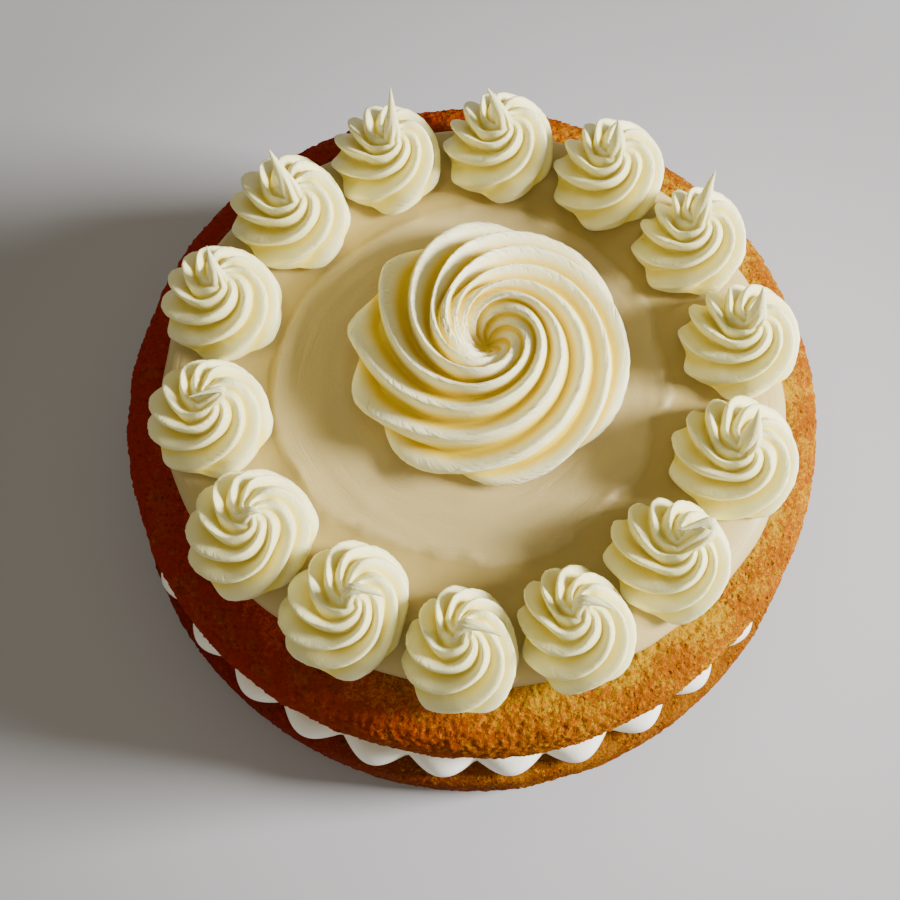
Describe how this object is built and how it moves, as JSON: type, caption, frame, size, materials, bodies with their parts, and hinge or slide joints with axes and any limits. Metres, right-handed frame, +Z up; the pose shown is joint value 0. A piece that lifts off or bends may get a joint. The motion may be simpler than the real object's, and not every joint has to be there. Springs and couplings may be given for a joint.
{
  "type": "vanilla layer cake",
  "caption": "Round two-layer vanilla sponge cake with a piped lobed filling, a spread cream top, a ring of piped cream swirls and a large swirl in the middle.",
  "frame": {"origin": "centre of the flat underside, on the cake's axis, where it rests", "axes": "+Z up through the layers; -Y is the front, which faces the picture's camera; +X is the picture's right"},
  "size_m": [0.2424, 0.2417, 0.1253],
  "materials": {
    "lower_crumb": "baked brown crumb, matte",
    "upper_crumb": "baked golden-brown crumb, matte and rough",
    "filling_cream": "smooth whipped cream, soft satin",
    "spread_cream": "spread cream with faint spatula marks, satin",
    "piped_cream": "piped whipped cream, soft satin"
  },
  "bodies": {
    "root": {"lower_sponge": "lower_crumb", "filling": "filling_cream", "upper_sponge": "upper_crumb", "top_cream": "spread_cream", "rosette_01": "piped_cream", "rosette_02": "piped_cream", "rosette_03": "piped_cream", "rosette_04": "piped_cream", "rosette_05": "piped_cream", "rosette_06": "piped_cream", "rosette_07": "piped_cream", "rosette_08": "piped_cream", "rosette_09": "piped_cream", "rosette_10": "piped_cream", "rosette_11": "piped_cream", "rosette_12": "piped_cream", "rosette_13": "piped_cream", "rosette_14": "piped_cream", "centre_rosette": "piped_cream"}
  },
  "joints": []
}
